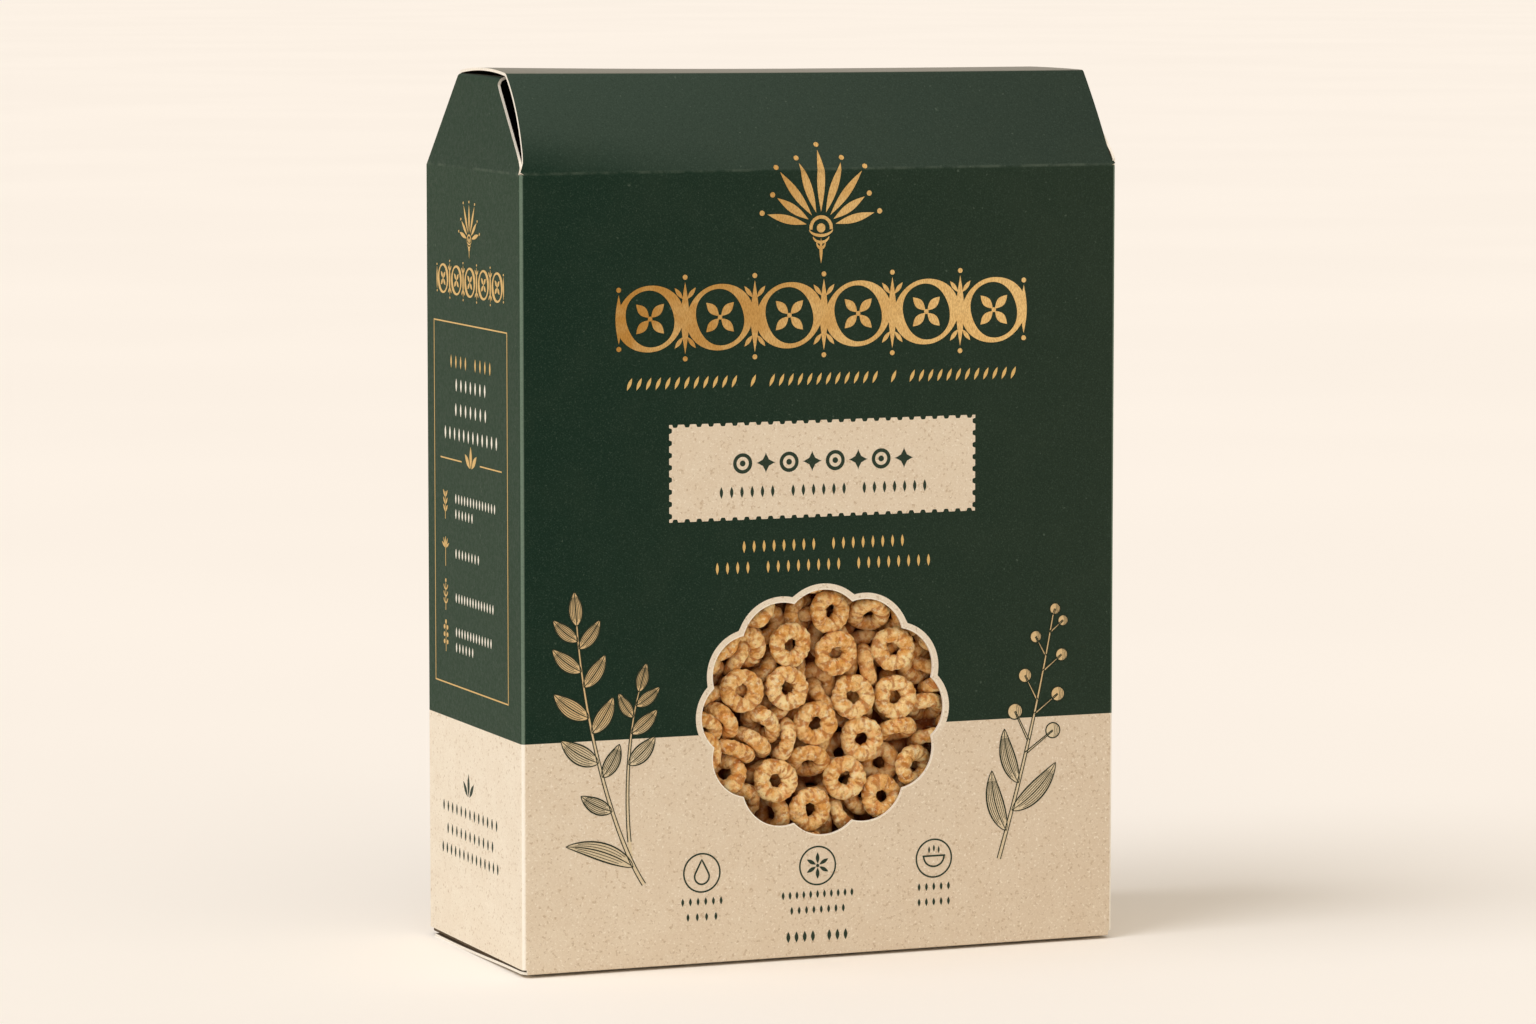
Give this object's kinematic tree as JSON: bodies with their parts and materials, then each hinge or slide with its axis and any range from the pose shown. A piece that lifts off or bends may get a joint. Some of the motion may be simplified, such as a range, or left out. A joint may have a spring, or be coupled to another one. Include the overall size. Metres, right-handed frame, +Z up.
{
  "type": "cereal box",
  "caption": "Gable-top folded board carton of breakfast hoops, with a scalloped oval window in its front that shows the cereal.",
  "frame": {"origin": "middle of the carton's footprint, on the surface it stands on", "axes": "+Z up, the front face with the window faces -Y, +X to the right seen from the front"},
  "size_m": [0.206, 0.0926, 0.2867],
  "materials": {
    "board": "matte",
    "hoops": "matte"
  },
  "bodies": {
    "root": {"carton": "board", "cereal": "hoops"}
  },
  "joints": []
}
